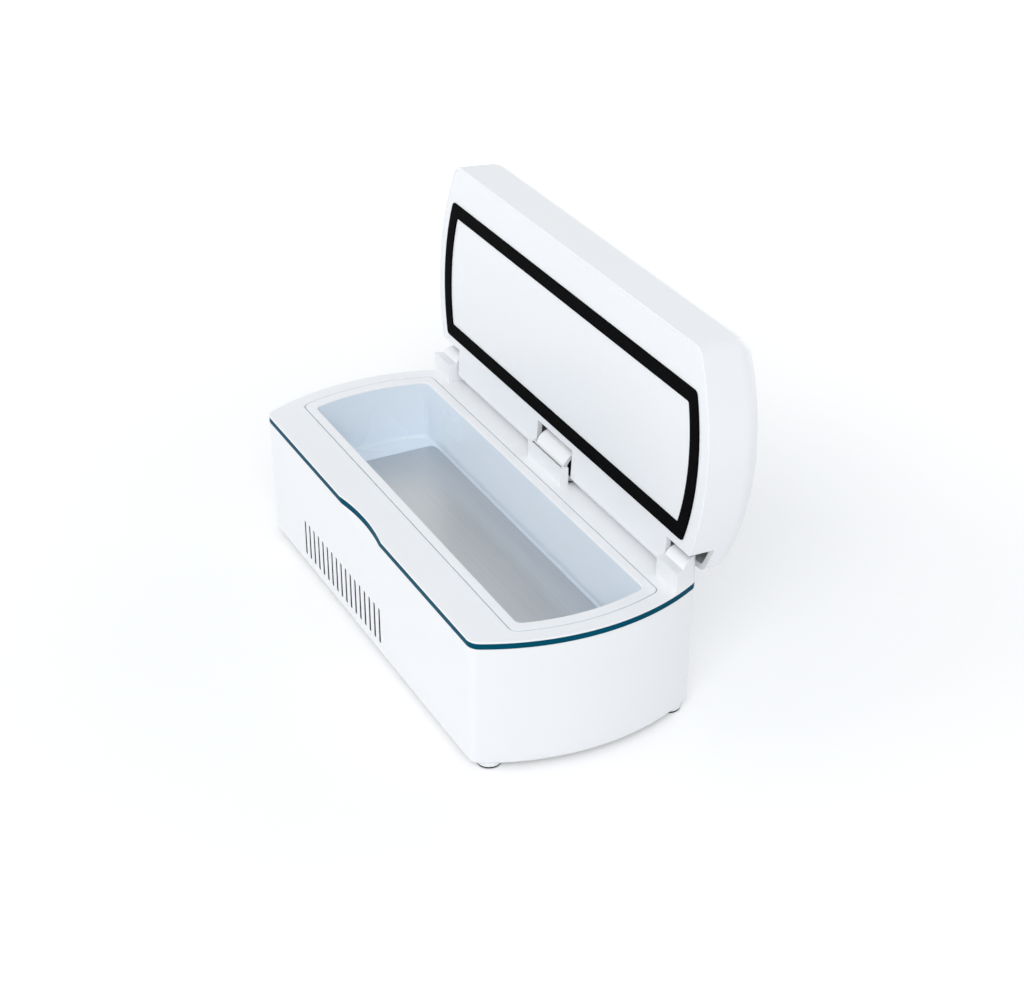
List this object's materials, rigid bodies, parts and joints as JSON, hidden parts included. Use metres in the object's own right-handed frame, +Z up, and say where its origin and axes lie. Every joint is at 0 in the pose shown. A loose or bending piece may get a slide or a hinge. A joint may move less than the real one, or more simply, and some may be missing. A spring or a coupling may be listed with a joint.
{
  "type": "insulin cooling case",
  "caption": "Portable thermoelectric cool box for insulin pens: bulged white housing with a coloured band, open pen chamber, vent slots and a hinged lid with a gasket.",
  "frame": {"origin": "on the table, midway between the four feet, under the middle of the housing", "axes": "+X along the length to the right seen from the front, +Y from the front to the hinge, +Z up"},
  "size_m": [0.2, 0.1045, 0.1385],
  "materials": {
    "white_housing": "smooth white moulding, semi-gloss",
    "white_liner": "smooth bluish white moulding",
    "teal_band": "dark teal moulding, glossy",
    "gasket": "soft black strip, matt",
    "foot_rubber": "dark grey rubber pad",
    "foam": "closed-cell foam",
    "aluminium": "plain milled",
    "steel": "bright plated",
    "ceramic": "white ceramic plates",
    "board": "green circuit board",
    "dark_plastic": "dark grey moulding",
    "battery_wrap": "blue shrink wrap",
    "display_lens": "smoked clear window",
    "display_panel": "grey liquid-crystal panel",
    "button_cap": "light grey moulding"
  },
  "bodies": {
    "case": {"lower_housing": "white_housing", "trim_band": "teal_band", "top_deck": "white_housing", "chamber_liner": "white_liner", "insulation_foam": "foam", "cold_plate": "aluminium", "peltier_module": "ceramic", "heat_sink": "aluminium", "sink_screw_1": "steel", "sink_screw_2": "steel", "fan_frame": "dark_plastic", "battery_pack": "battery_wrap", "control_board": "board", "dc_jack": "dark_plastic", "temperature_sensor": "dark_plastic", "foot_front_left": "foot_rubber", "foot_front_right": "foot_rubber", "foot_back_right": "foot_rubber", "foot_back_left": "foot_rubber", "case_screw_front_left": "steel", "case_screw_front_right": "steel", "case_screw_back_right": "steel", "case_screw_back_left": "steel", "hinge_pin_left": "steel", "hinge_pin_right": "steel", "deck_magnet_left": "steel", "deck_magnet_right": "steel"},
    "fan": {"fan_rotor": "dark_plastic"},
    "lid": {"lid_shell": "white_housing", "lid_inner_panel": "white_housing", "lid_gasket": "gasket", "lid_foam": "foam", "display_window": "display_lens", "display_module": "display_panel", "lid_board": "board", "tact_switch": "dark_plastic", "lid_magnet_left": "steel", "lid_magnet_right": "steel"},
    "button": {"power_button": "button_cap"}
  },
  "joints": [
    {"name": "lid_hinge", "type": "hinge", "parent": "case", "child": "lid", "pos_m": [0, 0.0392, 0.05668], "axis": [1, 0, 0], "range_deg": [0, 93.2]},
    {"name": "button_press", "type": "slide", "parent": "lid", "child": "button", "axis": [0, -0.9984, 0.0558], "range_m": [0, 0.0005], "stiffness_N_per_m": 1500},
    {"name": "fan_spin", "type": "hinge", "parent": "case", "child": "fan", "pos_m": [-0.021, 0, 0.008], "axis": [0, 0, 1], "continuous": true}
  ]
}
